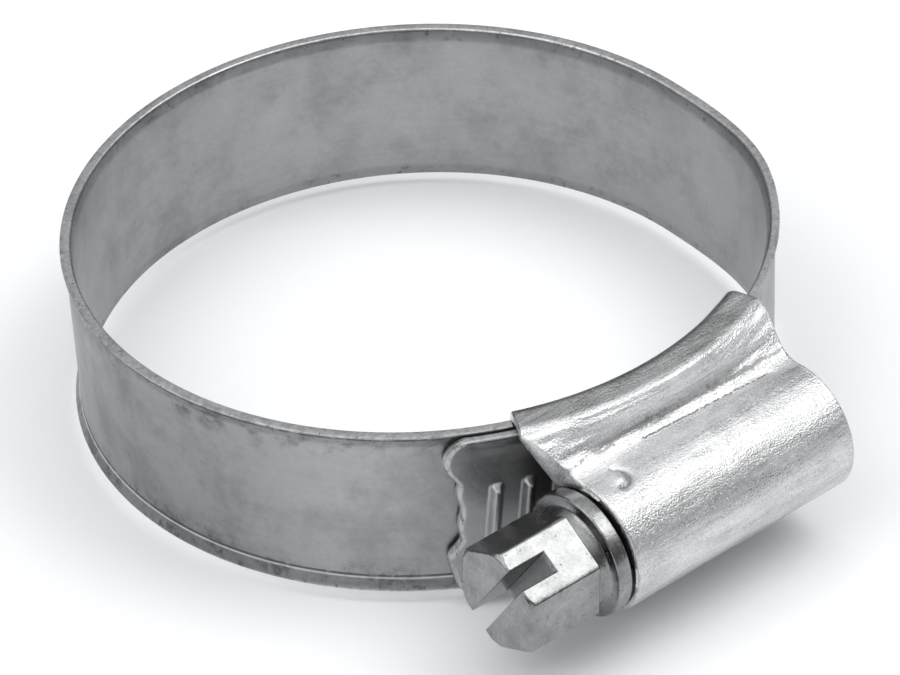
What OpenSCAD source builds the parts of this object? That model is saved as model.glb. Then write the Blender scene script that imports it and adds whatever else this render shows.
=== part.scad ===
// Worm-drive hose clamp, drawn one turn of the screw short of where its band runs out of the
// worm. Closing it draws the free end further through the housing.
// Origin: centre of the band's ring, at the middle of the band's width.
// +Z runs along the hose. The housing sits on -Y, and the screw's head looks towards -X.
// Angles round the ring are counted clockwise, seen from +Z, from the middle of the housing.
// The band is one bent steel strip. It is drawn as short stiff links with a hinge between
// neighbours, so that it can close like the strip does.

/* [Band] */
// Inside diameter of the ring
bore_d = 47; // [46:0.5:56]
// Width of the strip
band_w = 13; // [11.5:0.5:15]
// Thickness of the strip
band_t = 0.6; // [0.5:0.05:0.8]
// How far each long edge is turned outwards
lip_out = 0.45; // [0.1:0.05:0.5]
// Width of the turned edge
lip_w = 1.1; // [0.6:0.1:1.5]
// Length of loose tail past the housing
tail_len = 4.8; // [4:0.2:10]

/* [Band thread] */
// Pressed ridges on each link
ridges_per_link = 6; // [6:1:7]
// Length of a ridge across the strip
ridge_len = 5; // [4:0.5:6]
// Height of a ridge
ridge_h = 0.7; // [0.6:0.05:0.8]
// Width of a ridge at its foot
ridge_foot = 0.9; // [0.7:0.05:0.9]
// Width of a ridge at its top
ridge_top = 0.4; // [0.3:0.05:0.5]

/* [Screw] */
// Radius over the worm's thread
worm_r = 3.7; // [3.5:0.05:4.2]
// Width of the thread at its crest
worm_crest = 0.48; // [0.4:0.02:0.5]
// Width of the thread at its root
worm_root = 1; // [0.8:0.05:1.1]
// Depth of the thread
worm_depth = 0.85; // [0.8:0.05:1]
// How deep the thread reaches into the ridges
bite = 0.45; // [0.3:0.05:0.5]
// Size of the hexagon across its flats
hex_af = 7; // [6:0.5:8]
// Length of the hexagon
hex_len = 5.8; // [4:0.1:8]
// Chamfer on the hexagon's outer corners
hex_chamfer = 0.3; // [0.2:0.1:1]
// Turn of the slot about the screw, with the hexagon's flats square to it
hex_turn = 34; // [0:1:59]
// Width of the screwdriver slot
slot_w = 1.5; // [1:0.1:2]
// Depth of the screwdriver slot
slot_depth = 3; // [2:0.1:3.5]
// Radius of the collar
collar_r = 4.4; // [4:0.1:5]
// Thickness of the collar
collar_t = 1.1; // [0.8:0.1:1.5]
// Length of the tapered neck between collar and hexagon
neck_len = 0.9; // [0.5:0.1:1.5]

/* [Housing] */
// Length of the saddle round the band
saddle_len = 20; // [18:0.5:21]
// Thickness of the pressed sheet
sheet_t = 0.8; // [0.6:0.05:1]
// Outer radius of the saddle's folds
fold_r = 1.2; // [0.6:0.1:1.3]
// Length of the barrel
barrel_len = 19; // [17:0.5:20]
// How far the barrel sits towards the plain end
barrel_shift = 0.5; // [0:0.1:1]
// Width of the lip that keeps the worm in
mouth_lip = 0.7; // [0.5:0.1:1]
// Radius of the hollow where saddle runs into barrel
crease_r = 1.6; // [1:0.1:2]
// Angle past the middle at which the band's fixed end starts
fixed_start = 14; // [10:1:16]

/* [Clearances] */
// Gap between the two layers of band
layer_gap = 0.3; // [0.25:0.05:0.4]
// Gap between the turned edges and the saddle's outer wall
lip_gap = 0.25; // [0.25:0.05:0.4]
// Gap beside the band's edges in the saddle
side_gap = 0.2; // [0.15:0.05:0.3]
// Gap round the worm in the barrel
worm_gap = 0.2; // [0.15:0.05:0.3]
// Gap between collar and barrel
collar_gap = 0.35; // [0.2:0.05:0.5]
// Gap round the ridges in the saddle
ridge_gap = 0.3; // [0.25:0.05:0.5]
// Slit between neighbouring links
slit = 0.1; // [0.08:0.01:0.15]

/* [Hidden] */
LINKS = 12;
$fn = 96;
EPS = 0.01;

// Ring
link_angle = 30;
first_hinge = 30;
ring_r = bore_d / 2;
tail_layer_r = ring_r + band_t + layer_gap;
ramp_link = 9;
ramp_steps = 16;
half_w = band_w / 2;
slit_angle = slit / ring_r * 180 / PI;

// Saddle, as radii from the ring's axis
saddle_half_angle = saddle_len / 2 / (ring_r + band_t) * 180 / PI;
channel_in_r = ring_r + band_t;
channel_out_r = tail_layer_r + band_t + lip_out + lip_gap;
saddle_out_r = channel_out_r + sheet_t;
channel_half_w = half_w + side_gap;
saddle_half_w = channel_half_w + sheet_t;
ridge_top_r = tail_layer_r + band_t + ridge_h;
tail_end = saddle_half_angle + tail_len / tail_layer_r * 180 / PI + 360;

// Screw axis and what is round it
axis_y = ridge_top_r - bite + worm_r;
worm_core_r = worm_r - worm_depth;
ridge_pitch_angle = link_angle / ridges_per_link;
pitch_r = tail_layer_r + band_t + ridge_h / 2;
pitch = pitch_r * ridge_pitch_angle * PI / 180;
helix_angle = atan(pitch / (2 * PI * (worm_r - bite / 2)));
barrel_in_r = worm_r + worm_gap;
barrel_out_r = barrel_in_r + sheet_t;
barrel_x0 = barrel_shift - barrel_len / 2;
barrel_x1 = barrel_shift + barrel_len / 2;
mouth_r = worm_core_r + worm_gap;
worm_x0 = barrel_x0 + mouth_lip + worm_gap;
worm_x1 = barrel_x1 - 1;
collar_x1 = barrel_x0 - collar_gap;
collar_x0 = collar_x1 - collar_t;
hex_x1 = collar_x0 - neck_len;
hex_x0 = hex_x1 - hex_len;
hex_corner_r = hex_af / 2 / cos(30);
neck_r = hex_af / 2 - 0.2;

// The strip's section, as [distance from the ring's axis, height], with its inner face at r.
function strip_section(r) = [
    [r, lip_w - half_w],
    [r, half_w - lip_w],
    [r + lip_out, half_w],
    [r + lip_out + band_t, half_w],
    [r + band_t, half_w - lip_w],
    [r + band_t, lip_w - half_w],
    [r + lip_out + band_t, -half_w],
    [r + lip_out, -half_w]
];

// Height of an S-shaped step from 0 to 1, level at both ends.
function smooth(u) = (1 - cos(180 * u)) / 2;

// A place on the ring: a clockwise angle from the housing, a radius and a height.
function on_ring(angle, r, z) = [-r * sin(angle), -r * cos(angle), z];

// What a module draws at the housing is carried clockwise round the ring.
module at_angle(angle) {
    rotate([0, 0, -angle]) children();
}

// A band of the ring between two clockwise angles. The child is its section.
module ring_arc(from, to) {
    rotate([0, 0, -90 - to]) rotate_extrude(angle = to - from) children();
}

// A stretch of strip at one radius.
module strip_arc(from, to, r) {
    ring_arc(from, to) polygon(strip_section(r));
}

// The stretch that climbs from the inner layer to the outer one.
module strip_ramp(from, to) {
    n = len(strip_section(0));
    rings = [
        for (i = [0:ramp_steps])
            let (u = i / ramp_steps, r = ring_r + (tail_layer_r - ring_r) * smooth(u))
                [for (p = strip_section(r)) on_ring(from + (to - from) * u, p[0], p[1])]
    ];
    // Each side is two triangles. The ends are cut into the web and its two turned edges.
    sides = [
        for (i = [0:ramp_steps - 1], j = [0:n - 1])
            let (a = i * n + j, b = i * n + (j + 1) % n)
                each [[a, b, a + n], [b, b + n, a + n]]
    ];
    cap = [[1, 2, 3, 4], [0, 1, 4, 5], [0, 5, 6, 7]];
    last = ramp_steps * n;
    ends = concat(
        [for (f = cap) [for (i = [3:-1:0]) f[i]]],
        [for (f = cap) [for (v = f) v + last]]
    );
    polyhedron([for (ring = rings) each ring], concat(sides, ends));
}

// One pressed ridge, drawn at the housing and leaning with the worm's thread.
module ridge() {
    translate([0, -(tail_layer_r + band_t), 0]) rotate([90, 0, 0]) rotate([0, 0, -helix_angle])
        rotate([90, 0, 0]) linear_extrude(ridge_len, center = true)
            polygon([
                [-ridge_foot / 2, -band_t / 4],
                [ridge_foot / 2, -band_t / 4],
                [ridge_foot / 2, 0],
                [ridge_top / 2, ridge_h],
                [-ridge_top / 2, ridge_h],
                [-ridge_foot / 2, 0]
            ]);
}

// Only the last links carry ridges. The rest of the strip is bare.
module ridges(from, count) {
    for (i = [0:count - 1]) at_angle(from + (i + 0.5) * ridge_pitch_angle) ridge();
}

// Each link runs from its own hinge to the next one.
module band_link(k) {
    start = first_hinge + link_angle * (k - 1);
    is_last = k == LINKS;
    from = start + slit_angle / 2;
    to = is_last ? tail_end : start + link_angle - slit_angle / 2;
    tail_ridges = floor((tail_end - start) / ridge_pitch_angle);
    color("silver") {
        if (k < ramp_link) strip_arc(from, to, ring_r);
        if (k == ramp_link) strip_ramp(from, to);
        if (k > ramp_link) {
            if (is_last) tail_end_strip(from, to);
            else strip_arc(from, to, tail_layer_r);
        }
        if (k > ramp_link + 1) ridges(start, is_last ? tail_ridges : ridges_per_link);
    }
}

// The free end, with its corners taken off.
module tail_end_strip(from, to) {
    corner_r = 1.8;
    reach = tail_layer_r + 2;
    intersection() {
        strip_arc(from, to, tail_layer_r);
        at_angle(to) rotate([90, 0, 0]) linear_extrude(reach) union() {
            translate([corner_r, -half_w]) square([reach, band_w]);
            translate([0, corner_r - half_w]) square([reach, band_w - 2 * corner_r]);
            for (z = [-1, 1]) translate([corner_r, z * (half_w - corner_r)]) circle(corner_r);
        }
    }
}

// The end of the strip that the folds of the saddle grip.
module band_fixed_end() {
    color("silver") strip_arc(fixed_start, first_hinge - slit_angle / 2, ring_r);
}

// A rectangle with round corners, from one radius to another.
module round_section(r0, r1, half_height, corner) {
    translate([r0, corner - half_height]) square([r1 - r0, 2 * (half_height - corner)]);
    translate([r0 + corner, -half_height]) square([r1 - r0 - 2 * corner, 2 * half_height]);
    for (r = [r0 + corner, r1 - corner], z = [-1, 1])
        translate([r, z * (half_height - corner)]) circle(corner);
}

// What is drawn about Z is laid along X on the screw's axis, with its start at x.
module on_screw(x) {
    translate([x, -axis_y, 0]) rotate([0, 90, 0]) children();
}

// The sheet that joins the saddle to the barrel, with a hollow crease on each side.
module neck_block() {
    crease_y = saddle_out_r + crease_r;
    crease_z = sqrt(pow(barrel_out_r + crease_r, 2) - pow(axis_y - crease_y, 2));
    touch = barrel_out_r / (barrel_out_r + crease_r);
    touch_y = axis_y - (axis_y - crease_y) * touch;
    touch_z = crease_z * touch;
    root_y = channel_out_r * cos(saddle_half_angle) - sheet_t;
    difference() {
        translate([barrel_x0, 0, 0]) rotate([90, 0, 90]) linear_extrude(barrel_len) difference() {
            polygon([
                [-root_y, -crease_z],
                [-saddle_out_r, -crease_z],
                [-touch_y, -touch_z],
                [-axis_y, -touch_z],
                [-axis_y, touch_z],
                [-touch_y, touch_z],
                [-saddle_out_r, crease_z],
                [-root_y, crease_z]
            ]);
            for (z = [-1, 1]) translate([-crease_y, z * crease_z]) circle(crease_r);
        }
        cylinder(h = band_w * 2, r = channel_out_r, center = true);
    }
}

// One pressed sheet: the saddle folded round the band, and the barrel rolled round the worm.
module housing() {
    a = saddle_half_angle;
    color("gainsboro") difference() {
        union() {
            ring_arc(-a, a) round_section(ring_r, saddle_out_r, saddle_half_w, fold_r);
            on_screw(barrel_x0) cylinder(h = barrel_len, r = barrel_out_r);
            neck_block();
        }
        // the channel that the free end slides through
        ring_arc(-a - 5, a + 5)
            translate([channel_in_r, -channel_half_w])
                square([channel_out_r - channel_in_r, 2 * channel_half_w]);
        // room for the ridges
        ring_arc(-a - 5, a + 5)
            translate([channel_in_r, -ridge_len / 2 - ridge_gap])
                square([ridge_top_r + ridge_gap - channel_in_r, ridge_len + 2 * ridge_gap]);
        // the pocket that the fixed end is gripped in
        ring_arc(fixed_start, a + 5)
            translate([ring_r - 1, -half_w]) square([band_t + 1 + EPS, band_w]);
        on_screw(barrel_x0 + mouth_lip) cylinder(h = barrel_len, r = barrel_in_r);
        on_screw(barrel_x0 - 1) cylinder(h = barrel_len, r = mouth_r);
        // the saddle's end gives the collar room to turn
        on_screw(collar_x0 - collar_gap)
            cylinder(h = collar_t + 2 * collar_gap, r = collar_r + collar_gap);
    }
}

// The worm's thread, as a strip of trapezium wound round the core.
module worm_thread() {
    steps = 18;
    turns = (worm_x1 - worm_x0 - 2 * worm_root) / pitch;
    count = floor(turns * steps);
    // the flanks run on a little way inside the core
    sink = 0.4;
    foot = worm_root / 2 + sink * (worm_root - worm_crest) / 2 / worm_depth;
    profile = [
        [-foot, worm_core_r - sink],
        [-worm_crest / 2, worm_r],
        [worm_crest / 2, worm_r],
        [foot, worm_core_r - sink]
    ];
    n = len(profile);
    // a whole number of steps before x = 0, where a crest faces the band at rest
    before = floor(-(worm_x0 + worm_root) / pitch * steps);
    points = [
        for (i = [0:count], p = profile)
            let (turn = (i - before) / steps, angle = turn * 360)
                [turn * pitch + p[0], p[1] * cos(angle) - axis_y, p[1] * sin(angle)]
    ];
    sides = [
        for (i = [0:count - 1], j = [0:n - 1])
            let (a = i * n + j, b = i * n + (j + 1) % n)
                each [[a, b, a + n], [b, b + n, a + n]]
    ];
    last = count * n;
    ends = [for (j = [1:n - 2]) each [[0, j + 1, j], [last, last + j, last + j + 1]]];
    polyhedron(points, concat(sides, ends));
}

// Hexagon with a screwdriver slot, collar, neck and worm, turned from one bar.
module worm_screw() {
    chamfer_r = hex_corner_r - hex_chamfer;
    // the slot runs from flat to flat
    slot_to_corner = 30;
    color("darkgray") difference() {
        union() {
            intersection() {
                on_screw(hex_x0) rotate([0, 0, hex_turn + slot_to_corner])
                    cylinder(h = hex_len, r = hex_corner_r, $fn = 6);
                on_screw(hex_x0)
                    cylinder(h = hex_len, r1 = chamfer_r, r2 = chamfer_r + hex_len);
            }
            on_screw(hex_x1 - EPS) cylinder(h = neck_len + 2 * EPS, r1 = neck_r, r2 = collar_r - 0.6);
            on_screw(collar_x0) cylinder(h = collar_t, r = collar_r);
            on_screw(collar_x0) cylinder(h = worm_x1 - collar_x0, r = worm_core_r);
            worm_thread();
        }
        on_screw(hex_x0) rotate([0, 0, hex_turn]) translate([-hex_af, -slot_w / 2, -1])
            cube([2 * hex_af, slot_w, slot_depth + 1]);
    }
}

housing();
worm_screw();
band_fixed_end();
for (k = [1:LINKS]) band_link(k);
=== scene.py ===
# %% [markdown]
# # A worm-drive hose clamp
# A steel strip is bent into a ring. Its free end slides through a pressed housing, where a
# screw with a worm thread pulls it along by its ridges. This lesson starts from the fixed
# frame: the engineering model's solids, bodies and joints. Each visible piece is then built
# as a mesh in that frame and given a finish made of nodes; the housing and the screw's
# pieces are tied to their bodies.

# %% Load the frame
import math

import bmesh
import bpy
import numpy as np
from mathutils import Matrix, Vector


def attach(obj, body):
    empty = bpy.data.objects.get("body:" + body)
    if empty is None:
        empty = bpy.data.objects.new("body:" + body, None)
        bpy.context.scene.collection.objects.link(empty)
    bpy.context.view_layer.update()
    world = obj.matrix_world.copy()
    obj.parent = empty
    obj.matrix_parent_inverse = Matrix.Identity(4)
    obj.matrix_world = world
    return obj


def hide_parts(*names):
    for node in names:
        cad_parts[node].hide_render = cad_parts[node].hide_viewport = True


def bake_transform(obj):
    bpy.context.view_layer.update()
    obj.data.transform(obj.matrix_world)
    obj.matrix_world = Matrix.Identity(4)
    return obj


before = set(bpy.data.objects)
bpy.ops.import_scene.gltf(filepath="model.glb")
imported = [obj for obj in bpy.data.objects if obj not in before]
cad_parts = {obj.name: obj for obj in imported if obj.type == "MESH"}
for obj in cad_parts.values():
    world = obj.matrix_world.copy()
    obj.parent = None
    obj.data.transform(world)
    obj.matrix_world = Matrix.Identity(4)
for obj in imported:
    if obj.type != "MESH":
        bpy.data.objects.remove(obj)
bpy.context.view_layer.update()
MM = 0.001

# %% [markdown]
# ## Sizes
# The strip, housing and screw repeat the engineering model's sizes in millimetres. Angles
# round the ring are degrees, counted clockwise from the middle of the housing on -Y.

# %% Sizes shared by the pieces
RING_R = 23.5
STRIP_T = 0.6
STRIP_HALF_W = 6.5
LAYER_STEP = 0.9  # how much further out the free end runs
LIP_W = 1.1
LIP_OUT = 0.45
RAMP = (270, 300)
STRIP_END = 394.9
LINK_ANGLE = 30
LINKS = 12
RIDGE_PITCH = 5
FIRST_RIDGE = 332.5
RIDGE_H = 0.68
RIDGE_LEAN = 0.1
SHEAR_ROLL, SHEAR_ROWS = 0.5, 5  # length of the rolled end, and its rows of faces
SADDLE_HALF_ANGLE = 23.7
AXIS_Y = -28.95
BARREL_R = 4.7
BARREL_BORE = 3.9
BARREL_X = (-9.0, 10.0)
CEILING_R = 25.7  # the saddle's outer wall, on its inside
MOON_AT, MOON_R = (-6.95, 29.05), 0.9  # the half-moon punched beside the head


def on_ring(angle, radius, z):
    """Places on the ring, as an array of x, y, z in millimetres."""
    a = np.radians(angle)
    return np.stack(np.broadcast_arrays(-radius * np.sin(a), -radius * np.cos(a), z), -1)


def smoothstep(x, low, high):
    u = np.clip((x - low) / (high - low), 0, 1)
    return u * u * (3 - 2 * u)


# %% [markdown]
# ## The camera
# The clamp lies on its side and is seen from above the screw's head. A long lens keeps the
# ring's near and far edges close in size. The camera's axes are worked out from its
# azimuth, elevation and roll, so no constraint is needed.

# %% Make the camera
AZIMUTH, ELEVATION, ROLL = (math.radians(v) for v in (-37.85, 37.36, -2.94))
back = Vector(
    (
        math.sin(AZIMUTH) * math.cos(ELEVATION),
        -math.cos(AZIMUTH) * math.cos(ELEVATION),
        math.sin(ELEVATION),
    )
)
level = Vector((math.cos(AZIMUTH), math.sin(AZIMUTH), 0))
upright = back.cross(level)
right = math.cos(ROLL) * level + math.sin(ROLL) * upright
up = math.cos(ROLL) * upright - math.sin(ROLL) * level
aim = (right * 2.336 - up * 3.155) * MM
camera = bpy.data.objects.new("camera", bpy.data.cameras.new("camera"))
bpy.context.scene.collection.objects.link(camera)
camera.data.lens = 169
camera.data.sensor_width = 36
camera.data.clip_start, camera.data.clip_end = 0.01, 10
camera.matrix_world = Matrix.Translation(aim + back * 295.8 * MM) @ Matrix(
    (right, up, back)
).transposed().to_4x4()
bpy.context.scene.camera = camera
print("camera at", [round(v, 4) for v in camera.matrix_world.translation])

# %% [markdown]
# ## Writing a finish
# A finish is a tree of nodes around one Principled shader. Long trees are easier to read as
# formulas, so a small class wraps a socket and lets Python's operators add Math nodes.
# One method makes every other node.


# %% Wrap sockets and trees
class Wire:
    """An output socket whose arithmetic adds Math nodes to its finish."""

    def __init__(self, finish, socket):
        self.finish, self.socket = finish, socket

    def math(self, operation, *others, first=None):
        inputs = [self, *others] if first is None else [first, self]
        return self.finish.node("ShaderNodeMath", {"operation": operation}, inputs)

    def __add__(self, other):
        return self.math("ADD", other)

    def __sub__(self, other):
        return self.math("SUBTRACT", other)

    def __rsub__(self, other):
        return self.math("SUBTRACT", first=other)

    def __mul__(self, other):
        return self.math("MULTIPLY", other)

    __radd__, __rmul__ = __add__, __mul__


class Finish:
    """A material built round one Principled shader."""

    def __init__(self, name, **fixed):
        self.material = bpy.data.materials.new(name)
        self.material.use_nodes = True
        self.nodes = self.material.node_tree.nodes
        self.shader = self.nodes["Principled BSDF"]
        for socket, value in fixed.items():
            self.shader.inputs[socket.replace("_", " ")].default_value = value
        place = self.node("ShaderNodeTexCoord", out="Object")
        self.place = self.node(
            "ShaderNodeVectorMath", {"operation": "SCALE"}, {"Vector": place, "Scale": 1 / MM}
        )
        self.x, self.y, self.z = (
            self.node("ShaderNodeSeparateXYZ", inputs=[self.place], out=axis) for axis in "XYZ"
        )

    def node(self, kind, settings=None, inputs=(), out=0):
        made = self.nodes.new(kind)
        for key, value in (settings or {}).items():
            setattr(made, key, value)
        pairs = inputs.items() if isinstance(inputs, dict) else enumerate(inputs)
        for key, value in pairs:
            self.plug(value, made.inputs[key])
        return Wire(self, made.outputs[out])

    def plug(self, value, socket):
        if isinstance(value, Wire):
            self.material.node_tree.links.new(value.socket, socket)
        else:
            socket.default_value = value

    def feed(self, name, value):
        self.plug(value, self.shader.inputs[name])

    def vector(self, x, y, z):
        return self.node("ShaderNodeCombineXYZ", inputs=[x, y, z])

    def noise(self, scale, detail=3, roughness=0.55, at=None, out="Fac"):
        return self.node(
            "ShaderNodeTexNoise",
            inputs={
                "Vector": at or self.place,
                "Scale": scale,
                "Detail": detail,
                "Roughness": roughness,
            },
            out=out,
        )

    def step(self, value, low, high, start=0.0, end=1.0):
        """A soft step from start to end as value goes from low to high."""
        return self.node(
            "ShaderNodeMapRange",
            {"interpolation_type": "SMOOTHSTEP"},
            {"Value": value, "From Min": low, "From Max": high, "To Min": start, "To Max": end},
        )

    def blend(self, factor, first, second):
        return self.node(
            "ShaderNodeMix", {"data_type": "RGBA"}, {0: factor, 6: first, 7: second}, out=2
        )

    def bump(self, height, strength, distance):
        """Height is in millimetres."""
        return self.node(
            "ShaderNodeBump",
            inputs={"Height": height * MM, "Strength": strength, "Distance": distance},
        )


def grey(value):
    return (value * 0.99, value, value * 1.012, 1)


print("finishes are written as formulas")

# %% [markdown]
# ## Galvanised strip
# The strip is plated before it is bent, so it is even and matt: a soft mottle, faint lines
# along its length, and painted shade in patches where the edges turn outwards, with a painted
# highlight under the lower bend. The outer face is darker on the left of the ring as painted
# shade, and the edge faces carry a speckled painted highlight. Coordinates that follow the
# strip, arc length and height, keep the lines running round the ring.

# %% Finish of the strip
strip_zinc = Finish("galvanised_strip", Metallic=1.0)
f = strip_zinc
around = f.y.math("ARCTAN2", f.x) * RING_R
out_r = (f.x * f.x + f.y * f.y).math("SQRT")
along = f.vector(around * 0.06, out_r * 0.5, f.z)
lines = f.noise(2.2, 4, 0.6, along)
mottle = f.noise(0.35, 3, 0.5)
fleck = f.noise(2.6, 4, 0.65)
height = f.z.math("ABSOLUTE")
# positive on the outer face, negative on the inner one
facing = f.node(
    "ShaderNodeVectorMath",
    {"operation": "DOT_PRODUCT"},
    [f.node("ShaderNodeNewGeometry", out="Normal"), f.vector(f.x, f.y, 0.0)],
    out="Value",
)
outside = f.step(facing, -2.0, 2.0)
LOWER_BEND_Z, UNDER_RIM_Z, GLINT_Z = -5.42, 6.28, -5.58
on_bend = f.step((f.z - LOWER_BEND_Z).math("ABSOLUTE"), 0.03, 0.14, 1.0, 0.0)
under_rim = f.step((f.z - UNDER_RIM_Z).math("ABSOLUTE"), 0.04, 0.15, 1.0, 0.0)
worn = f.noise(0.45, 5, 0.75)
# painted shade along the lower bend and under the rim on the outer face, broken into patches by
# the worn noise
bend_shade = outside * (on_bend + under_rim) * f.step(worn, 0.36, 0.52)
stain = outside * f.step(height, 3.8, 5.6) * f.step(f.noise(0.55, 6, 0.75), 0.48, 0.66)
rim = f.step(height, 6.3, 6.46)
lip = f.step(height, 5.45, 5.7)
specks = f.step(f.noise(1.5, 5, 0.8), 0.56, 0.64) * f.step(height, 5.3, 6.0)
smudge = f.step(f.noise(0.16, 5, 0.7), 0.42, 0.72)
glint = outside * f.step((f.z - GLINT_Z).math("ABSOLUTE"), 0.02, 0.09, 1.0, 0.0)
shade = 0.37 + (lines - 0.5) * 0.07 + (fleck - 0.5) * 0.06 - smudge * 0.09 - lip * 0.03
# painted highlight: the edge faces of the sheet are painted lighter, in specks
shade = shade + glint * 0.35 - stain * 0.14 + rim * (fleck * 0.5 - 0.05)
# painted shade: the outer face is darker on the left of the ring
shade = shade - outside * f.step(f.x, -24.5, -18.0, 0.08, 0.0)
# real dark specks, and the painted shade of the bends
dirt_and_shade = (bend_shade * 0.75).math("MAXIMUM", specks * 0.6)
clean = f.vector(shade, shade * 1.005, shade * 1.015)
f.feed("Base Color", f.blend(dirt_and_shade, clean, grey(0.04)))
f.feed("Metallic", 1 - dirt_and_shade * 0.6)
f.feed("Roughness", 0.40 + (mottle - 0.5) * 0.2 + (lines - 0.5) * 0.15 + dirt_and_shade * 0.25)
slanted = f.vector(f.x + f.z * 0.8, f.y, f.z * 0.15)
scratch = f.step(f.noise(1.4, 3, 0.6, slanted), 0.64, 0.67)
relief = fleck * 0.02 + lines * 0.015 + mottle * 0.12 + f.noise(9, 2) * 0.006
f.feed("Normal", f.bump(relief - scratch * 0.008, 0.7, 1.0))
print("strip finish:", len(f.nodes), "nodes")

# %% [markdown]
# Where the strip was sheared off, the cut carries the fine vertical marks of the shear. The
# cut and the rolled outer face beside it are painted brighter than the plated faces, partly as
# bare steel and partly as a painted highlight where they catch the light.

# %% Finish of the sheared end
sheared_edge = Finish("sheared_edge", Metallic=1.0)
f = sheared_edge
marks = f.noise(4.0, 4, 0.7, f.vector(f.x, f.y, f.z * 0.4))
# the cut is painted brighter than the strip: partly bare steel, partly a painted highlight
shade = 0.43 + (marks - 0.5) * 0.5
clean = f.vector(shade, shade * 1.004, shade * 1.01)
grime = f.step(f.noise(1.6, 5, 0.8), 0.54, 0.64, 0.0, 0.7)
f.feed("Base Color", f.blend(grime, clean, grey(0.05)))
f.feed("Roughness", 0.35 + (marks - 0.5) * 0.2)
f.feed("Normal", f.bump(marks * 0.03, 0.7, 1.0))
print("sheared edge:", len(f.nodes), "nodes")

# %% [markdown]
# ## Bright zinc on the pressed sheet
# The housing is bright plated and was dragged through press tools. Streaks run along it,
# tiny facets sparkle, and the folds keep some dirt.

# %% Finish of the housing
housing_zinc = Finish("bright_pressed_zinc", Metallic=1.0)
f = housing_zinc
streak_place = f.vector(f.x * 0.12, f.y, f.z)
streak = f.noise(1.1, 5, 0.6, streak_place)
fine_streak = f.noise(3.5, 4, 0.7, streak_place)
cloud = f.noise(0.45, 4, 0.6)
grain = f.noise(5.5, 3, 0.7)
sparkle = f.noise(8.5, 2, 0.6)
below = f.y * -1
fold_line = f.noise(0.8, 4, 0.7, f.vector(f.x, 0.0, 0.0)) * 0.9 + 26.3
crease_dirt = f.step((below - fold_line).math("ABSOLUTE"), 0.03, 0.2, 1.0, 0.0)
crease_dirt = crease_dirt * f.step(f.z.math("ABSOLUTE"), 4.2, 4.6)
crease_dirt = crease_dirt * f.step(f.noise(0.7, 4, 0.7), 0.45, 0.56)
wander = f.noise(1.3, 3, 0.7, f.vector(f.x, 0.0, 0.0)) * 0.5
torn_at = f.x * 0.035 + 27.1 + wander
torn = f.step((below - torn_at).math("ABSOLUTE"), 0.02, 0.09, 1.0, 0.0)
torn = torn * f.step(f.z, 3.9, 4.2) * f.step(f.x, -3.4, -2.8) * f.step(f.x, 7.4, 8.0, 1.0, 0.0)
torn = torn * f.step(f.noise(2.3, 3, 0.7, f.vector(f.x, 3.0, 0.0)), 0.40, 0.48)
moon_x, moon_y = f.x - MOON_AT[0], below - MOON_AT[1]
moon_r = (moon_x * moon_x + moon_y * moon_y).math("SQRT")
moon = f.step((moon_r - MOON_R).math("ABSOLUTE"), 0.05, 0.2, 1.0, 0.0)
moon = moon * f.step(moon_x + moon_y * 0.4, 0.0, 0.3) * f.step(f.z, 3.9, 4.2)
specks = f.step(f.noise(1.9, 5, 0.8), 0.66, 0.72)
dirt_and_shade = (crease_dirt * 0.5).math("MAXIMUM", specks * 0.55)
dirt_and_shade = dirt_and_shade.math("MAXIMUM", torn * 0.85).math("MAXIMUM", moon * 0.6)
shade = 0.6 + (cloud - 0.5) * 0.3 + (streak - 0.5) * 0.5 + (fine_streak - 0.5) * 0.35
from_middle = f.z.math("ABSOLUTE")
# painted highlight on the shoulder below the flat top; the flat top itself is made darker
shoulder_highlight = f.step(from_middle, 5.2, 6.0) * f.step(from_middle, 7.15, 7.35, 1.0, 0.0)
shade = shade + (sparkle - 0.5) * 0.6 - f.step(from_middle, 7.15, 7.35) * 0.2
shade = shade + shoulder_highlight * 0.22
clean = f.vector(shade, shade * 1.003, shade * 1.01)
f.feed("Base Color", f.blend(dirt_and_shade, clean, grey(0.06)))
f.feed("Metallic", 1 - dirt_and_shade * 0.5)
f.feed("Roughness", 0.30 + (streak - 0.5) * 0.25 + (grain - 0.5) * 0.12 + dirt_and_shade * 0.3)
f.feed(
    "Normal",
    f.bump(streak * 0.05 + fine_streak * 0.03 + sparkle * 0.06 + cloud * 0.07, 0.9, 1.0),
)
print("housing finish:", len(f.nodes), "nodes")

# %% [markdown]
# ## Turned screw
# The screw is plated too, but its facets were pressed in a die and knocked in the box. They
# are smooth with grey clouds and dark specks, and painted shade darkens the floor of the slot.

# %% Finish of the screw
screw_zinc = Finish("plated_screw", Metallic=1.0)
f = screw_zinc
cloud = f.noise(0.6, 4, 0.6)
grain = f.noise(3.2, 4, 0.7)
specks = f.step(f.noise(1.6, 5, 0.8), 0.60, 0.67)
from_axis = ((f.y - AXIS_Y) * (f.y - AXIS_Y) + f.z * f.z).math("SQRT")
# painted shade on the floor of the slot and within about 3 mm of the axis behind it
shadowed = f.step(f.x, -14.5, -14.0) * f.step(from_axis, 2.8, 3.3, 1.0, 0.0)
dirt_and_shade = (specks * 0.7).math("MAXIMUM", shadowed * 0.5)
shade = 0.265 + (cloud - 0.5) * 0.3 + (grain - 0.5) * 0.25
clean = f.vector(shade, shade * 1.003, shade * 1.008)
f.feed("Base Color", f.blend(dirt_and_shade, clean, grey(0.06)))
f.feed("Metallic", 1 - dirt_and_shade * 0.5)
f.feed("Roughness", 0.24 + (cloud - 0.5) * 0.15 + (grain - 0.5) * 0.1 + dirt_and_shade * 0.3)
f.feed("Normal", f.bump(cloud * 0.025 + grain * 0.016 + f.noise(8, 2) * 0.008, 0.8, 1.0))
print("screw finish:", len(f.nodes), "nodes")

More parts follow.
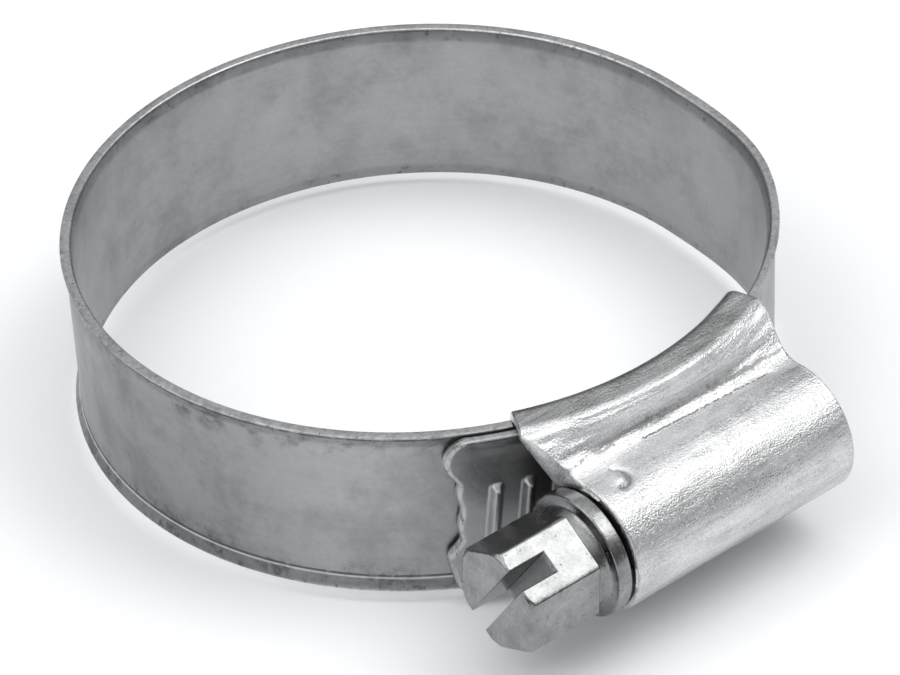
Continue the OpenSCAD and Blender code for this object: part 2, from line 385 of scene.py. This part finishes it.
# %% [markdown]
# ## Building a piece
# Every piece is a closed mesh written point by point. Smooth normals are measured on the
# grid of points itself, which lets two pieces that meet share the same shading across the
# join. Flat end caps take their own face's normal.


# %% Turn arrays into pieces
def grid_faces(rows, columns):
    """Quads between the rows of a grid whose columns close into a loop."""
    i, j = np.meshgrid(np.arange(rows - 1), np.arange(columns), indexing="ij")
    a, b = i * columns + j, i * columns + (j + 1) % columns
    return np.stack([a, b, b + columns, a + columns], -1).reshape(-1, 4).tolist()


def grid_normals(points):
    """Normals of a grid of points (rows, columns, 3) whose columns close into a loop."""
    along = np.gradient(points, axis=0)
    across = np.roll(points, -1, 1) - np.roll(points, 1, 1)
    normal = np.cross(across, along)
    return normal / np.maximum(np.linalg.norm(normal, axis=-1, keepdims=True), 1e-12)


def make_piece(name, points, faces, finish, body, normals=None, smooth_faces=None):
    """A mesh piece in the frame. Points are in millimetres. Faces from smooth_faces on are flat
    ends."""
    mesh = bpy.data.meshes.new(name)
    mesh.from_pydata((np.asarray(points).reshape(-1, 3) * MM).tolist(), [], faces)
    mesh.polygons.foreach_set("use_smooth", [True] * len(mesh.polygons))
    mesh.update()
    if normals is not None:
        corners = [c for face in faces for c in face]
        per_corner = np.asarray(normals).reshape(-1, 3)[corners]
        corner = sum(len(face) for face in faces[:smooth_faces])
        for polygon in mesh.polygons[smooth_faces:]:
            per_corner[corner : corner + polygon.loop_total] = polygon.normal
            corner += polygon.loop_total
        mesh.normals_split_custom_set(per_corner.tolist())
    mesh.materials.append(finish.material)
    piece = bpy.data.objects.new(name, mesh)
    bpy.context.scene.collection.objects.link(piece)
    if body:
        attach(piece, body)
    return piece


# %% [markdown]
# ## The strip
# On the real clamp the band is one strip. The engineering model closes it with short stiff
# links, so here each hinge gets a stretch of strip that runs from the middle of one link to
# the middle of the next, where nothing bends. The stretches are fixed in the frame and are
# not tied to a body. The section turns out at both edges. Near the free end, ridges are
# pressed out for the worm, with a hollow behind each one.

# %% Section of the strip, and its ridges
EDGE_Z = [6.5, 6.47, 6.4, 6.25, 6.0, 5.75, 5.55, 5.44, 5.36, 5.24, 5.1, 4.9, 4.6, 4.2, 3.7, 3.2]
PLAIN_Z = [2.4, 1.6, 0.8]
RIDGE_Z = [2.85, 2.7, 2.6, 2.5, 2.4, 2.3, 2.2, 2.05, 1.9, 1.6, 1.2, 0.8, 0.4]


def section_heights(middle):
    half = EDGE_Z + middle
    return np.array([-z for z in half] + [0.0] + half[::-1])


def strip_rise(angle):
    """How far the strip's inner face stands outside the ring's radius."""
    u = np.clip((angle - RAMP[0]) / (RAMP[1] - RAMP[0]), 0, 1)
    return LAYER_STEP * (1 - np.cos(np.pi * u)) / 2


def ridge_height(angle, z):
    """Height of the pressed ridges, 0 to 1."""
    radius = RING_R + LAYER_STEP + STRIP_T
    slot = np.round((angle - FIRST_RIDGE) / RIDGE_PITCH)
    slot = np.clip(slot, 0, (STRIP_END - 4.5 - FIRST_RIDGE) // RIDGE_PITCH)
    away = np.radians(angle - FIRST_RIDGE - slot * RIDGE_PITCH) * radius + RIDGE_LEAN * z
    hump = 1 - smoothstep(np.abs(away), 0.1, 0.52)
    return hump * (1 - smoothstep(np.abs(z), 2.15, 2.6))


def strip_points(angles, z, from_ridge, rolled=0.0):
    """Points of the closed section at each angle: outer face up, then inner face down. Shearing
    the end rolled its outer face in by rolled. The turned edges are thicker than the strip."""
    turned = np.maximum(np.abs(z) - (STRIP_HALF_W - LIP_W), 0) / LIP_W
    soft = np.where(z > 0, 0.05, 0.003)  # the lower edge is bent more sharply
    bend = LIP_OUT * (np.sqrt(turned**2 + soft) - np.sqrt(soft))
    edge = np.clip((np.abs(z) - 6.36) / 0.14, 0, 1)
    half_t = STRIP_T / 2 - 0.12 * edge**2
    ridge = ridge_height(angles, z) if from_ridge else np.zeros_like(angles)
    rise = strip_rise(angles)
    middle = RING_R + rise + STRIP_T / 2
    outer = middle + half_t + bend + RIDGE_H * ridge - rolled
    inner_bend = bend * (0.4 + 0.4 * rise / LAYER_STEP)
    inner = middle - half_t + inner_bend + (RIDGE_H - 0.2) * ridge
    return np.concatenate([on_ring(angles, outer, z), on_ring(angles, inner, z)[:, ::-1]], 1)


print("section has", 2 * len(section_heights(PLAIN_Z)), "points")


# %% [markdown]
# The free end is not cut square. Its corners are round and its middle is drawn in a little,
# so the last few millimetres of the grid are squeezed to follow that outline.


# %% Stretches of strip
def end_outline(z):
    """Where the free end stops at each height, in degrees."""
    corner = 1.9
    past = np.clip(np.abs(z) - (STRIP_HALF_W - corner), 0, corner)
    round_off = corner - np.sqrt(np.maximum(corner**2 - past**2, 0))
    drawn_in = 0.75 * (1 - smoothstep(np.abs(z - 0.3), 2.0, 3.6))
    nick = 0.12 * np.sin(z * 2.3 + 0.6)
    return STRIP_END - np.degrees((round_off + drawn_in + nick + 0.1) / (RING_R + LAYER_STEP))


def strip_stretch(name, start, end, hinge_span, replaced):
    ridged = end > RAMP[1]
    last = end >= STRIP_END
    rolled = 0.0
    count = int((end - start) / (0.22 if ridged else 1.0)) + 1
    angles = np.linspace(start, end, count)
    step = angles[1] - angles[0]
    z = section_heights(RIDGE_Z if ridged else PLAIN_Z)
    padded = np.concatenate([[start - step], angles, [end + step]])
    grid = np.broadcast_to(padded[:, None], (len(padded), len(z))).copy()
    if last:
        squeeze_from = STRIP_END - 9
        t = np.clip((grid - squeeze_from) / (STRIP_END - squeeze_from), 0, None)
        grid = np.where(t > 0, squeeze_from + (end_outline(z) - squeeze_from) * t, grid)
        from_end = np.radians(end_outline(z) - grid) * (RING_R + LAYER_STEP)
        past = np.clip(1 - from_end / SHEAR_ROLL, 0, 1)
        rolled = 0.4 * (1 - np.sqrt(1 - past**2))
    padded_points = strip_points(grid, np.broadcast_to(z, grid.shape), ridged, rolled)
    normals = grid_normals(padded_points)[1:-1]
    points = padded_points[1:-1]
    rows, columns = points.shape[:2]
    faces = grid_faces(rows, columns)
    smooth = len(faces)
    n = len(z)
    for row, flip in ((0, False), (rows - 1, True)):
        for j in range(n - 1):
            face = [row * columns + v for v in (j, 2 * n - 1 - j, 2 * n - 2 - j, j + 1)]
            faces.append(face[::-1] if flip else face)
    sheared = range(rows - 1 - SHEAR_ROWS, rows - 1) if last else []
    cut = [i * columns + j for i in sheared for j in range(n - 1)]
    piece = make_piece(name, points, faces, strip_zinc, None, normals, smooth)
    piece.data.materials.append(sheared_edge.material)
    for i in [*cut, *range(smooth, len(faces))]:
        piece.data.polygons[i].material_index = 1
    a, b = (Vector((on_ring(v, RING_R, 0) * MM).tolist()) for v in hinge_span)
    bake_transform(piece)
    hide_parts(*replaced)
    return piece


strip_stretch(
    "strip_fixed_end",
    SADDLE_HALF_ANGLE + 0.05,
    45,
    (24, 38),
    ["band_fixed_end", "band_link_01"],
)
for k in range(1, LINKS - 1):
    middle = LINK_ANGLE * k + 15
    strip_stretch(
        f"strip_stretch_{k:02d}",
        middle,
        middle + LINK_ANGLE,
        (middle, middle + LINK_ANGLE),
        [f"band_link_{k + 1:02d}"],
    )
tail = strip_stretch(
    "strip_free_end",
    345,
    STRIP_END,
    (347, 373),
    ["band_link_12"],
)
print("free end has", len(tail.data.polygons), "faces")

# %% [markdown]
# ## The housing
# One sheet is folded round the strip and rolled into a barrel for the worm. Cut across, it
# is a ring: an outer line and an inner line a sheet's thickness apart. Both lines are drawn
# for half the height, mirrored, and carried from one end to the other. Points on the saddle
# follow the curve of the ring and points on the barrel go straight along the screw, which
# makes the hollow between them wide at the ends and narrow in the middle.


# %% Lines of the section
def arc(centre, radius, start, end, count):
    """Points on a circle, as [distance out, height], without the last one."""
    a = np.radians(np.linspace(start, end, count, endpoint=False))
    return np.stack([centre[0] + radius * np.cos(a), centre[1] + radius * np.sin(a)], -1)


def line(start, end, count):
    return np.linspace(start, end, count, endpoint=False)


def bowed(start, end, count, bow):
    """A line whose middle is moved sideways by bow. Below 0 it makes a hollow."""
    t = np.linspace(0, 1, count, endpoint=False)[:, None]
    start, end = np.array(start), np.array(end)
    normal = np.array([-(end - start)[1], (end - start)[0]])
    normal = normal / np.linalg.norm(normal)
    return start + (end - start) * t + normal * bow * 4 * t * (1 - t)


def swept(a, b, c, d, count):
    """A curve from a to d that leaves towards b and arrives from c."""
    t = np.linspace(0, 1, count, endpoint=False)[:, None]
    a, b, c, d = (np.array(v) for v in (a, b, c, d))
    return (1 - t) ** 3 * a + 3 * t * (1 - t) ** 2 * b + 3 * t**2 * (1 - t) * c + t**3 * d


SADDLE_POINTS = 8 + 9 + 6 + 8  # wall, fold, flat top and brow
FACE_POINTS, CREASE_POINTS, BARREL_POINTS = 18, 8, 46
OUT_CENTRE = -AXIS_Y
CREASE = (26.8, 5.0)


def outer_half(radius):
    """From the middle of the bore's wall, over the fold and crease, to the barrel's back."""
    brow, brow_r = (25.6, 6.62), 0.78
    brow_end = (brow[0] + brow_r * 0.866, brow[1] + brow_r * 0.5)
    meet = np.radians(-9)
    barrel_start = (OUT_CENTRE + radius * np.sin(meet), radius * np.cos(meet))
    return np.concatenate(
        [
            line((RING_R + 0.02, 0), (RING_R + 0.02, 6.58), 8),
            arc((24.42, 6.58), 0.9, 180, 90, 9),
            line((24.42, 7.48), (25.62, 7.4), 6),
            arc(brow, brow_r, 88, 32, 8),
            swept(brow_end, (26.52, 6.68), (26.52, 5.4), CREASE, FACE_POINTS),
            bowed(CREASE, barrel_start, CREASE_POINTS, -0.14),
            arc((OUT_CENTRE, 0), radius, 99, 0, BARREL_POINTS),
            [(OUT_CENTRE + radius, 0)],
        ]
    )


def inner_half(radius):
    """The same points on the inside: channel, room for the ridges, and the worm's bore."""
    slot = min(2.8, radius * 0.97)
    meet = OUT_CENTRE - math.sqrt(radius**2 - slot**2)
    start = math.degrees(math.atan2(slot, meet - OUT_CENTRE))
    return np.concatenate(
        [
            line((24.1, 0), (24.1, 6.3), 8),
            arc((24.5, 6.3), 0.4, 180, 90, 9),
            line((24.5, 6.7), (CEILING_R - 0.4, 6.7), 6),
            arc((CEILING_R - 0.4, 6.3), 0.4, 90, 0, 8),
            line((CEILING_R, 6.3), (CEILING_R, slot), FACE_POINTS),
            line((CEILING_R, slot), (meet, slot), CREASE_POINTS),
            arc((OUT_CENTRE, 0), radius, start, 0, BARREL_POINTS),
            [(OUT_CENTRE + radius, 0)],
        ]
    )


HALF = len(outer_half(BARREL_R))
print("half a section has", HALF, "points")

# %% [markdown]
# The sheet was not pressed evenly. Long ripples run down the sloping face, a torn line
# follows the crease on the upper side, and a half-moon was punched in next to the head.
# They are moves of the outer points along their normals, so the shape is real.


# %% Carry the section along the housing
def full_loop(half):
    mirrored = half[1:-1][::-1] * [1, -1]
    return np.concatenate([half, mirrored])


def saddle_share():
    """1 where a point follows the ring, 0 where it follows the screw."""
    share = np.zeros(HALF)
    share[:SADDLE_POINTS] = 1
    t = np.linspace(0, 1, FACE_POINTS, endpoint=False)
    share[SADDLE_POINTS : SADDLE_POINTS + FACE_POINTS] = 1 - t
    return share


def housing_row(t, half, share):
    """One row of points, t from -1 at the head's end to 1 at the plain end."""
    loop = full_loop(half)
    weight = np.concatenate([share, share[1:-1][::-1]])
    ring = on_ring(-SADDLE_HALF_ANGLE * t, loop[:, 0], loop[:, 1])
    middle, reach = sum(BARREL_X) / 2, (BARREL_X[1] - BARREL_X[0]) / 2
    straight = np.stack([np.full(len(loop), middle + reach * t), -loop[:, 0], loop[:, 1]], -1)
    return weight[:, None] * ring + (1 - weight[:, None]) * straight


def ripples(p):
    """Outward moves of the pressed sheet, in millimetres."""
    x, y, z = p[..., 0], -p[..., 1], p[..., 2]
    upper = smoothstep(z, 3.9, 4.6)
    face = smoothstep(np.abs(z), 4.7, 5.2) * (1 - smoothstep(np.abs(z), 6.9, 7.3))
    wave = np.sin(z * 6.1 + x * 0.33 + 0.5 * np.sin(x * 0.8)) * 0.6
    wave = wave + 0.5 * np.sin(z * 10.5 - x * 0.5 + 2 * np.sin(x * 0.37))
    move = 0.045 * face * wave
    barrel = smoothstep(y, 27.6, 28.6)
    angle = np.arctan2(np.abs(z), y - OUT_CENTRE)
    move = move + 0.012 * barrel * (np.sin(angle * 9 + x * 0.4 + np.sin(x * 0.55)) - 1)
    move = move + 0.02 * barrel * (np.sin(angle * 4.2 - x * 0.23 + 1.3) - 1)
    # the torn line that follows the crease
    torn = 27.35 + 0.035 * x + 0.08 * np.sin(x * 1.7)
    span = smoothstep(x, -3.6, -2.6) * (1 - smoothstep(x, 7.6, 8.6))
    move = move - 0.09 * upper * span * np.exp(-(((y - torn) / 0.25) ** 2))
    # the punched half-moon
    dx, dy = x - MOON_AT[0], y - MOON_AT[1]
    away = np.sqrt(dx**2 + dy**2)
    moon = np.exp(-(((away - MOON_R) / 0.2) ** 2)) * smoothstep(dx + 0.4 * dy, -0.2, 0.3)
    return move - 0.28 * upper * moon + 0.1 * upper * np.exp(-((away / 0.55) ** 2))


def housing_rows():
    """Outer and inner grids, with the ends rounded and the head's lip rolled in."""
    share = saddle_share()
    soft = 0.13
    ends = np.array([0, 0.004, 0.012, 0.022, 0.034, 0.048, 0.064])
    ts = np.concatenate([-1 + ends, np.linspace(-0.92, 0.92, 132), 1 - ends[::-1]])
    outer, inner = [], []
    for t in ts:
        from_head, from_end = (t + 1) * 9.5, (1 - t) * 9.5
        near = min(from_head, from_end)
        bevel = soft * (1 - math.sqrt(1 - max(0, 1 - near / soft) ** 2))
        roll = 0.25 * (1 - math.sqrt(1 - max(0, 1 - from_head / 0.3) ** 2))
        a = outer_half(BARREL_R - roll - bevel)
        mouth = BARREL_BORE - 0.8 * (1 - smoothstep(from_head, 0.62, 0.8))
        mouth = mouth + 1.12 * (1 - smoothstep(from_head, 0.1, 0.5))
        b = inner_half(mouth)
        thick = a - b
        length = np.maximum(np.linalg.norm(thick, axis=1, keepdims=True), 1e-9)
        pinch = thick / length * bevel
        pinch[0, 1] = pinch[-1, 1] = 0
        outer.append(housing_row(t, a - pinch, share))
        inner.append(housing_row(t, b + pinch, share))
    return ts, np.array(outer), np.array(inner)


ts, outer, inner = housing_rows()
outer_normals = -grid_normals(outer)
middle = outer.mean(1, keepdims=True)
if (outer_normals * (outer - middle)).sum(-1).mean() < 0:
    outer_normals = -outer_normals
fade = np.minimum(smoothstep(ts, -1, -0.96), 1 - smoothstep(ts, 0.97, 1))[:, None]
outer = outer + outer_normals * (ripples(outer) * fade)[..., None]
print("housing grid:", outer.shape[:2])


# %% [markdown]
# The outside and the inside are joined by a flat ring at each end, which makes one closed
# sheet of real thickness.


# %% Make the housing
def shell(outer, inner):
    """A tube with an outside, an inside, and a flat ring at each end."""
    rows, columns = outer.shape[:2]
    faces = grid_faces(rows, columns)
    shift = rows * columns
    faces += [[v + shift for v in face[::-1]] for face in grid_faces(rows, columns)]
    for row, flip in ((0, True), (rows - 1, False)):
        for j in range(columns):
            k = (j + 1) % columns
            face = [row * columns + j, row * columns + k]
            face += [shift + row * columns + k, shift + row * columns + j]
            faces.append(face[::-1] if flip else face)
    return np.concatenate([outer.reshape(-1, 3), inner.reshape(-1, 3)]), faces


points, faces = shell(outer, inner)
housing = make_piece("housing_sheet", points, faces, housing_zinc, "housing")
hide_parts("housing")


def face_outwards(piece):
    """Turns every face of a closed mesh to look outwards."""
    work = bmesh.new()
    work.from_mesh(piece.data)
    bmesh.ops.recalc_face_normals(work, faces=work.faces[:])
    volume = work.calc_volume(signed=True)
    if volume < 0:
        bmesh.ops.reverse_faces(work, faces=work.faces[:])
    work.to_mesh(piece.data)
    work.free()
    return abs(volume)


print("sheet volume, mm3:", round(face_outwards(housing) / MM**3, 1))

# %% [markdown]
# ## The screw
# The head is a hexagon with a slot from flat to flat. A boolean would leave ragged points
# along the chamfer, so the head is built as outlines instead: two halves above the floor of
# the slot and one hexagon below it. A bevel then wears every edge. Behind it come the neck,
# the collar and the core, turned as one profile, and the thread is wound round the core.

# %% Make the head
HEX_X = (-17.12, -11.35)
HEX_FLAT = 3.5
HEX_CORNER = 3.98  # where the hexagon's corners are rounded off
SLOT_HALF_W, SLOT_FLOOR = 0.75, -14.15
SLOT_TURN = 34
SCREW_SEGMENTS = 96


def hex_radius(angle):
    """Radius of the hexagon with its corners a little round, 0 at the middle of a flat."""
    off = (angle + 30) % 60 - 30
    sharp = HEX_FLAT / math.cos(math.radians(off))
    return min(sharp, HEX_CORNER)


def head_points():
    """Outline of half the head, counted from one side of the slot to the other."""
    slot_at = math.degrees(math.asin(SLOT_HALF_W / HEX_FLAT))
    grid = [a for a in np.arange(0, 180.1, 3.75) if slot_at + 1.5 < a < 180 - slot_at - 1.5]
    return [slot_at, *grid, 180 - slot_at]


def build_head():
    work = bmesh.new()
    turn = math.radians(SLOT_TURN)

    def point(x, along, across):
        """along runs with the slot, across runs square to it."""
        # the slot's direction in the plane of y and z
        dy, dz = math.cos(turn + math.pi / 2), math.sin(turn + math.pi / 2)
        y = AXIS_Y + along * dy - across * dz
        z = along * dz + across * dy
        return work.verts.new(Vector((x, y, z)) * MM)

    angles = head_points()
    loops = {"top": [], "side": [], "floor": [], "base": []}
    for half in (0, 180):
        rows = {key: [] for key in loops}
        for i, angle in enumerate(angles):
            r = hex_radius(angle)
            a = math.radians(angle + half)
            at_slot = i in (0, len(angles) - 1)
            cut = max(0.0, r - 3.74)
            for key, x, radius in (
                ("top", HEX_X[0], min(r, 3.78) - 0.14),
                ("side", HEX_X[0] + 0.12 + 0.9 * cut, r),
                ("floor", SLOT_FLOOR, r),
                ("base", HEX_X[1], r),
            ):
                along, across = radius * math.cos(a), radius * math.sin(a)
                if at_slot:
                    across = math.copysign(SLOT_HALF_W, across)
                    reach = math.sqrt(radius**2 - SLOT_HALF_W**2) if key == "top" else HEX_FLAT
                    along = math.copysign(reach, along)
                rows[key].append(point(x, along, across))
        for key in loops:
            loops[key].append(rows[key])
        work.faces.new(rows["top"][::-1])
        for upper, lower in (("top", "side"), ("side", "floor"), ("floor", "base")):
            for i in range(len(angles) - 1):
                a, b = rows[upper], rows[lower]
                work.faces.new((a[i], a[i + 1], b[i + 1], b[i]))
        t, s, fl = (rows[k] for k in ("top", "side", "floor"))
        work.faces.new((t[0], s[0], fl[0], fl[-1], s[-1], t[-1]))
    first, second = loops["floor"]
    work.faces.new((first[0], first[-1], second[0], second[-1]))
    low_first, low_second = loops["base"]
    work.faces.new((first[-1], second[0], low_second[0], low_first[-1]))
    work.faces.new((second[-1], first[0], low_first[0], low_second[-1]))
    work.faces.new(low_first + low_second)
    bmesh.ops.recalc_face_normals(work, faces=work.faces[:])
    mesh = bpy.data.meshes.new("screw_head")
    work.to_mesh(mesh)
    work.free()
    mesh.polygons.foreach_set("use_smooth", [True] * len(mesh.polygons))
    head = bpy.data.objects.new("screw_head", mesh)
    bpy.context.scene.collection.objects.link(head)
    wear = head.modifiers.new("worn edges", "BEVEL")
    wear.width, wear.segments = 0.13 * MM, 3
    wear.limit_method, wear.angle_limit = "ANGLE", math.radians(24)
    wear.use_clamp_overlap = True
    wear.harden_normals = True
    even = head.modifiers.new("even shading", "WEIGHTED_NORMAL")
    even.keep_sharp = True
    depsgraph = bpy.context.evaluated_depsgraph_get()
    worn = bpy.data.meshes.new_from_object(head.evaluated_get(depsgraph))
    head.modifiers.clear()
    head.data = worn
    worn.name = "screw_head"
    worn.materials.append(screw_zinc.material)
    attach(head, "screw")
    return head


head = build_head()
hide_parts("worm_screw")
print("head has", len(head.data.polygons), "faces")


# %% [markdown]
# The neck, the collar and the core are one line of points turned about the screw's axis.


# %% Turn the neck, the collar and the core
def turned(name, profile):
    """A closed solid of revolution on the screw's axis, from [x, radius] points."""
    profile = np.array(profile)
    n = SCREW_SEGMENTS
    a = np.linspace(0, 2 * np.pi, n, endpoint=False)
    x, r = profile[:, :1], profile[:, 1:]
    rows = np.stack(np.broadcast_arrays(x, AXIS_Y + r * np.cos(a), r * np.sin(a)), -1)
    faces = grid_faces(*rows.shape[:2])
    faces += [list(range(n)), list(range((len(profile) - 1) * n, len(profile) * n))]
    piece = make_piece(name, rows, faces, screw_zinc, "screw")
    face_outwards(piece)
    return piece


def rounded(x0, x1, radius, soft, count=6):
    """Profile of a disc from x0 to x1 with both rims rounded by soft."""
    a = np.radians(np.linspace(0, 90, count))
    quarter = [(soft * (1 - math.sin(v)), radius - soft * (1 - math.cos(v))) for v in a]
    return [(x0 + x, r) for x, r in quarter[::-1]] + [(x1 - x, r) for x, r in quarter]


COLLAR, COLLAR_R = (-10.45, -9.35), 4.4
profile = [(-11.6, 2.6), (-11.5, 3.25), (-11.2, 3.38), (-10.9, 3.45), (-10.62, 3.55)]
profile += [(-10.48, 3.7), *rounded(*COLLAR, COLLAR_R, 0.14), (-9.35, 3.2), (-9.3, 2.85)]
profile += [(8.8, 2.85), (8.98, 2.65)]
core = turned("screw_core", profile)
print("core profile:", len(profile), "points")

# %% [markdown]
# The thread is one closed section carried round the core. Both of its ends run down into the
# core, so neither shows a cut face.

# %% Wind the thread
WORM_R = 3.7
PITCH = 25.35 * math.radians(RIDGE_PITCH)
WORM_X = (-8.1, 9.0)
STEPS = 40


def wind_thread():
    start, end = WORM_X[0] + 1, WORM_X[1] - 1
    before = math.floor(-start / PITCH * 18) / 18
    turns = np.arange(int((end - start) / PITCH * STEPS) + 1) / STEPS - before
    section = [(-0.6, 2.7), (-0.42, 3.1), (-0.24, 3.6), (-0.12, WORM_R)]
    section = np.array(section + [(-x, r) for x, r in section[::-1]])
    a = turns[:, None] * 2 * np.pi
    fade = smoothstep(turns, turns[0], turns[0] + 0.3)
    fade = fade * (1 - smoothstep(turns, turns[-1] - 0.3, turns[-1]))
    r = 2.6 + (section[:, 1] - 2.6) * fade[:, None]
    x = turns[:, None] * PITCH + section[:, 0]
    rows = np.stack([x + 0 * a, AXIS_Y + r * np.cos(a), r * np.sin(a)], -1)
    faces = grid_faces(*rows.shape[:2])
    n = len(section)
    faces += [list(range(n)), list(range((len(turns) - 1) * n, len(turns) * n))]
    piece = make_piece("screw_thread", rows, faces, screw_zinc, "screw")
    face_outwards(piece)
    return piece


thread = wind_thread()
print("thread has", len(thread.data.polygons), "faces")

# %% [markdown]
# ## Light and floor
# Plated metal shows what is round it. A white floor and a pale room keep it light, a large
# soft lamp overhead gives the broad highlight, and a second lamp fills in from the left. The
# room is dark near the horizon, which gives the facets contrast.


# %% Light the clamp
def soft_lamp(name, place, size, power):
    """A round lamp aimed at the middle of the ring."""
    data = bpy.data.lights.new(name, "AREA")
    data.shape, data.size, data.energy = "DISK", size, power
    lamp = bpy.data.objects.new(name, data)
    bpy.context.scene.collection.objects.link(lamp)
    lamp.location = place
    lamp.rotation_euler = (-Vector(place)).to_track_quat("-Z", "Y").to_euler()
    return lamp


def room(name, stops):
    """A room that is dark near the horizon and pale overhead."""
    world = bpy.data.worlds.new(name)
    world.use_nodes = True
    nodes, links = world.node_tree.nodes, world.node_tree.links
    split = nodes.new("ShaderNodeSeparateXYZ")
    links.new(nodes.new("ShaderNodeTexCoord").outputs["Generated"], split.inputs[0])
    ramp = nodes.new("ShaderNodeValToRGB")
    ramp.color_ramp.elements.remove(ramp.color_ramp.elements[1])
    for i, (place, value) in enumerate(stops):
        stop = ramp.color_ramp.elements[0] if i == 0 else ramp.color_ramp.elements.new(place)
        stop.position, stop.color = place, (value * 0.99, value, value * 1.01, 1)
    links.new(split.outputs["Z"], ramp.inputs[0])
    links.new(ramp.outputs[0], nodes["Background"].inputs["Color"])
    return world


bpy.context.scene.view_settings.view_transform = "Standard"
bpy.context.scene.world = room("room", [(0.0, 0.06), (0.45, 0.25), (0.75, 0.8), (1.0, 1.6)])
soft_lamp("overhead", (0.29, -0.21, 0.49), 0.42, 1.25)
soft_lamp("left", (-0.5, 0.1, 0.45), 0.7, 1.8)

FLOOR_Z, FLOOR_HALF = -7.52 * MM, 6.0  # both in metres
floor = bpy.data.meshes.new("floor")
signs = ((-1, -1), (1, -1), (1, 1), (-1, 1))
floor.from_pydata([(x * FLOOR_HALF, y * FLOOR_HALF, FLOOR_Z) for x, y in signs], [], [range(4)])
floor_piece = bpy.data.objects.new("floor", floor)
bpy.context.scene.collection.objects.link(floor_piece)
paper = Finish("white_paper", Roughness=0.85)
paper.feed("Base Color", paper.blend(paper.noise(0.01), grey(0.93), grey(0.95)))
floor.materials.append(paper.material)
print("lamps and floor are in place")
